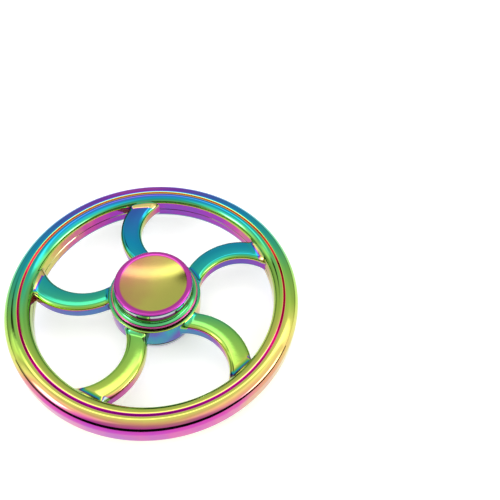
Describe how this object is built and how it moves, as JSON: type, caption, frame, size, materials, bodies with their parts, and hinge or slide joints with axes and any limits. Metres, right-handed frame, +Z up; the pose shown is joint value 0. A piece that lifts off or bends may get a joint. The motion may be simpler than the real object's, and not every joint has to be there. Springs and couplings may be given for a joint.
{
  "type": "fidget spinner",
  "caption": "Round wheel-shaped hand spinner: curved spokes, beaded rim and a ball bearing in the hub, turned between two dished finger caps.",
  "frame": {"origin": "centre of the bottom finger cap's lip plane, on the surface that the spinner stands on", "axes": "+Z up along the spin axis; the wheel is centred on Z; one spoke starts along +Y"},
  "size_m": [0.06, 0.06, 0.0128],
  "materials": {
    "wheel_plating": "mirror-bright rainbow vapour-deposited plating on a zinc alloy casting",
    "cap_plating": "rainbow vapour-deposited plating on a turned cap, satin in the dish",
    "bearing_steel": "ground bearing steel",
    "ball_steel": "lapped",
    "pressed_steel": "pressed sheet",
    "spring_wire": "drawn wire",
    "stud_steel": "black oxide"
  },
  "bodies": {
    "grip": {"finger_cap_top": "cap_plating", "finger_cap_bottom": "cap_plating", "cap_stud": "stud_steel", "bearing_inner_race": "bearing_steel"},
    "wheel": {"wheel": "wheel_plating", "bearing_outer_race": "bearing_steel", "bearing_shield_upper": "pressed_steel", "bearing_shield_lower": "pressed_steel", "snap_ring_upper": "spring_wire", "snap_ring_lower": "spring_wire"},
    "cage": {"ball_cage_upper": "pressed_steel", "ball_cage_lower": "pressed_steel"},
    "ball_01": {"bearing_ball_01": "ball_steel"},
    "ball_02": {"bearing_ball_02": "ball_steel"},
    "ball_03": {"bearing_ball_03": "ball_steel"},
    "ball_04": {"bearing_ball_04": "ball_steel"},
    "ball_05": {"bearing_ball_05": "ball_steel"},
    "ball_06": {"bearing_ball_06": "ball_steel"},
    "ball_07": {"bearing_ball_07": "ball_steel"},
    "ball_08": {"bearing_ball_08": "ball_steel"},
    "ball_09": {"bearing_ball_09": "ball_steel"},
    "ball_10": {"bearing_ball_10": "ball_steel"}
  },
  "joints": [
    {"name": "wheel_spin", "type": "hinge", "parent": "grip", "child": "wheel", "pos_m": [0, 0, 0.0064], "axis": [0, 0, 1], "continuous": true},
    {"name": "cage_orbit", "type": "hinge", "parent": "grip", "child": "cage", "pos_m": [0, 0, 0.0064], "axis": [0, 0, 1], "continuous": true},
    {"name": "ball_01_roll", "type": "hinge", "parent": "cage", "child": "ball_01", "pos_m": [0.00476, 0, 0.0064], "axis": [0, 0, 1], "continuous": true},
    {"name": "ball_02_roll", "type": "hinge", "parent": "cage", "child": "ball_02", "pos_m": [0.00385, 0.0028, 0.0064], "axis": [0, 0, 1], "continuous": true},
    {"name": "ball_03_roll", "type": "hinge", "parent": "cage", "child": "ball_03", "pos_m": [0.00147, 0.00453, 0.0064], "axis": [0, 0, 1], "continuous": true},
    {"name": "ball_04_roll", "type": "hinge", "parent": "cage", "child": "ball_04", "pos_m": [-0.00147, 0.00453, 0.0064], "axis": [0, 0, 1], "continuous": true},
    {"name": "ball_05_roll", "type": "hinge", "parent": "cage", "child": "ball_05", "pos_m": [-0.00385, 0.0028, 0.0064], "axis": [0, 0, 1], "continuous": true},
    {"name": "ball_06_roll", "type": "hinge", "parent": "cage", "child": "ball_06", "pos_m": [-0.00476, 0, 0.0064], "axis": [0, 0, 1], "continuous": true},
    {"name": "ball_07_roll", "type": "hinge", "parent": "cage", "child": "ball_07", "pos_m": [-0.00385, -0.0028, 0.0064], "axis": [0, 0, 1], "continuous": true},
    {"name": "ball_08_roll", "type": "hinge", "parent": "cage", "child": "ball_08", "pos_m": [-0.00147, -0.00453, 0.0064], "axis": [0, 0, 1], "continuous": true},
    {"name": "ball_09_roll", "type": "hinge", "parent": "cage", "child": "ball_09", "pos_m": [0.00147, -0.00453, 0.0064], "axis": [0, 0, 1], "continuous": true},
    {"name": "ball_10_roll", "type": "hinge", "parent": "cage", "child": "ball_10", "pos_m": [0.00385, -0.0028, 0.0064], "axis": [0, 0, 1], "continuous": true}
  ],
  "couplings": [
    {"joint": "cage_orbit", "follows": "wheel_spin", "ratio": 0.58336},
    {"joint": "ball_01_roll", "follows": "wheel_spin", "ratio": 2.9157},
    {"joint": "ball_02_roll", "follows": "wheel_spin", "ratio": 2.9157},
    {"joint": "ball_03_roll", "follows": "wheel_spin", "ratio": 2.9157},
    {"joint": "ball_04_roll", "follows": "wheel_spin", "ratio": 2.9157},
    {"joint": "ball_05_roll", "follows": "wheel_spin", "ratio": 2.9157},
    {"joint": "ball_06_roll", "follows": "wheel_spin", "ratio": 2.9157},
    {"joint": "ball_07_roll", "follows": "wheel_spin", "ratio": 2.9157},
    {"joint": "ball_08_roll", "follows": "wheel_spin", "ratio": 2.9157},
    {"joint": "ball_09_roll", "follows": "wheel_spin", "ratio": 2.9157},
    {"joint": "ball_10_roll", "follows": "wheel_spin", "ratio": 2.9157}
  ]
}
